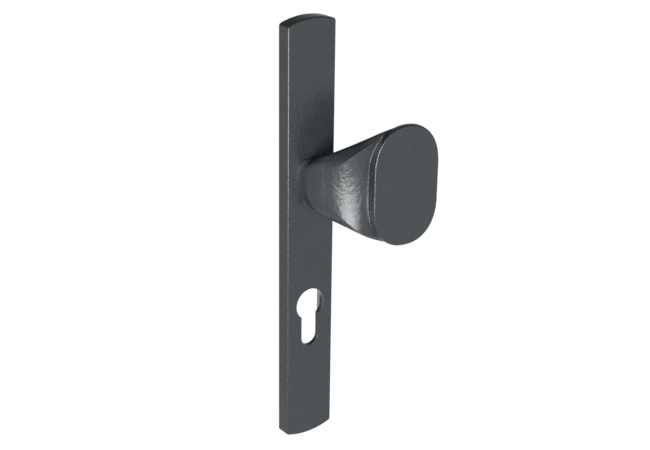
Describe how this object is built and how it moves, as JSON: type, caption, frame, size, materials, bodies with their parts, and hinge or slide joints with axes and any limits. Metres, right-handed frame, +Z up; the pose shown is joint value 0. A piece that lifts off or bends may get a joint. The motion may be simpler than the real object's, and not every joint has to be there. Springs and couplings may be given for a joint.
{
  "type": "knob on backplate",
  "caption": "Fixed door pull knob with a cranked oval head, on a narrow backplate with curved ends and a profile keyhole.",
  "frame": {"origin": "middle between the two through-bolt threads, in the plane of the plate's back", "axes": "+Z up along the plate, +Y into the door, +X across the plate to the side that the knob leans to"},
  "size_m": [0.0715, 0.0461, 0.2412],
  "materials": {
    "powder_coat": "satin anthracite powder coat on cast aluminium",
    "zinc_steel": "bright zinc plated steel",
    "screw_steel": "plated steel"
  },
  "bodies": {
    "root": {"backplate": "powder_coat", "knob": "powder_coat", "support_plate": "zinc_steel", "knob_screw_upper": "screw_steel", "knob_screw_lower": "screw_steel", "fixing_bush_top": "zinc_steel", "fixing_bush_bottom": "zinc_steel", "support_screw_1": "screw_steel", "support_screw_2": "screw_steel", "support_screw_3": "screw_steel", "support_screw_4": "screw_steel"}
  },
  "joints": []
}
